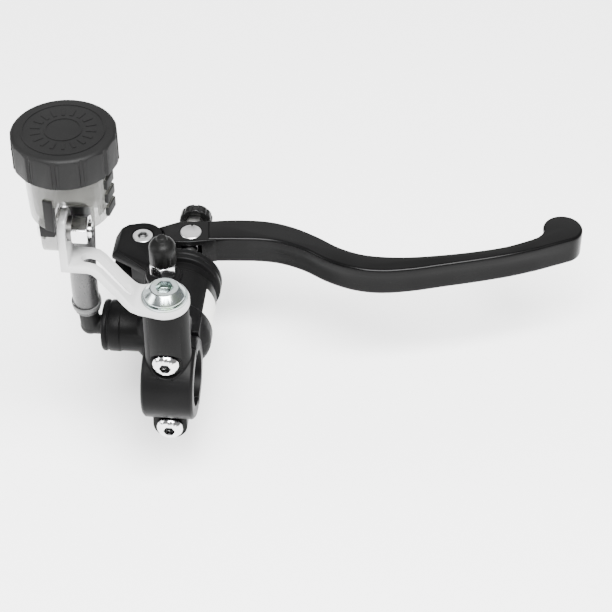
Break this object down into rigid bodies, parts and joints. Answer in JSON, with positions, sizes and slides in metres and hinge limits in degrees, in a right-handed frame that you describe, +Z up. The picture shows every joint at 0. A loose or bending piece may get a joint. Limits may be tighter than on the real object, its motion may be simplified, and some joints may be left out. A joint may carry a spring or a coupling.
{
  "type": "motorcycle brake lever with master cylinder",
  "caption": "Hand lever with a radial master cylinder, handlebar clamp and remote screw-top fluid reservoir on a bent bracket.",
  "frame": {"origin": "centre of the handlebar bore in the clamp", "axes": "+X outboard along the handlebar towards the lever's tip, +Y forward away from the rider, +Z up"},
  "size_m": [0.2131, 0.1277, 0.146],
  "materials": {
    "black_casting": "satin black coating over a fine casting",
    "black_lever": "smooth satin black coating",
    "chrome_steel": "polished",
    "zinc_steel": "bright zinc plate",
    "satin_steel": "satin, turned",
    "dark_steel": "dark oiled steel",
    "white_strip": "white paint over steel strip",
    "smoke_plastic": "smoke-clear moulded plastic",
    "black_plastic": "fine matt moulding",
    "black_knob": "black anodised",
    "black_rubber": "matt rubber",
    "grey_hose": "smooth grey translucent hose",
    "hose_band": "smooth",
    "white_plastic": "smooth",
    "label_stock": "blank printed plate",
    "bronze": "sintered",
    "bare_aluminium": "hard anodised"
  },
  "bodies": {
    "body": {"body": "black_casting", "clamp_cap": "black_casting", "clamp_bolts": "chrome_steel", "bracket_bolt": "zinc_steel", "bracket_washer": "zinc_steel", "reservoir_bracket": "white_strip", "tank_screw": "chrome_steel", "tank_lock_washer": "dark_steel", "tank_nut": "chrome_steel", "reservoir_tank": "smoke_plastic", "diaphragm": "black_rubber", "diaphragm_ring": "white_plastic", "fluid_hose": "grey_hose", "hose_clamps": "hose_band", "reservoir_elbow": "black_plastic", "elbow_o_ring": "black_rubber", "elbow_snap_ring": "dark_steel", "return_spring": "dark_steel", "piston_stop_washer": "dark_steel", "piston_circlip": "dark_steel", "dust_boot": "black_rubber", "pivot_bolt": "satin_steel", "pivot_nut": "zinc_steel", "side_label": "label_stock"},
    "lever": {"lever": "black_lever", "pivot_bushing": "bronze"},
    "piston": {"piston": "bare_aluminium", "primary_cup": "black_rubber", "secondary_cup": "black_rubber"},
    "pin": {"barrel_nut": "satin_steel"},
    "adjuster": {"pushrod": "satin_steel", "knob_lock_nut": "dark_steel", "adjuster_knob": "black_knob"},
    "cap": {"reservoir_cap": "black_plastic"},
    "bleeder": {"bleeder_screw": "chrome_steel"},
    "bleeder_cap": {"bleeder_cap": "black_rubber"}
  },
  "joints": [
    {"name": "lever_pull", "type": "hinge", "parent": "body", "child": "lever", "pos_m": [-0.0226, 0.0752, 0.0015], "axis": [0, 0, -1], "range_deg": [0, 18], "stiffness_Nm_per_rad": 1, "springref_deg": -22.92},
    {"name": "piston_slide", "type": "slide", "parent": "body", "child": "piston", "axis": [0, -1, 0], "range_m": [0, 0.0068], "deforming": ["return_spring"]},
    {"name": "pin_turn", "type": "hinge", "parent": "lever", "child": "pin", "pos_m": [-0.0028, 0.0799, 0.0015], "axis": [0, 0, -1], "range_deg": [-18.5, 0]},
    {"name": "knob_turn", "type": "hinge", "parent": "pin", "child": "adjuster", "pos_m": [-0.0028, 0.0955, 0.0015], "axis": [0, 1, 0], "range_deg": [-360, 360]},
    {"name": "cap_turn", "type": "hinge", "parent": "body", "child": "cap", "pos_m": [-0.032, -0.0045, 0.115], "axis": [0, 0, 1], "range_deg": [0, 360]},
    {"name": "bleeder_turn", "type": "hinge", "parent": "body", "child": "bleeder", "pos_m": [-0.0082, 0.041, 0.02], "axis": [0, 0, 1], "range_deg": [0, 360]},
    {"name": "bleeder_cap_pull", "type": "slide", "parent": "bleeder", "child": "bleeder_cap", "axis": [0, 0, 1], "range_m": [0, 0.018]}
  ],
  "couplings": [
    {"joint": "piston_slide", "follows": "lever_pull", "m_per_rad": 0.021},
    {"joint": "pin_turn", "follows": "lever_pull", "ratio": -1}
  ]
}
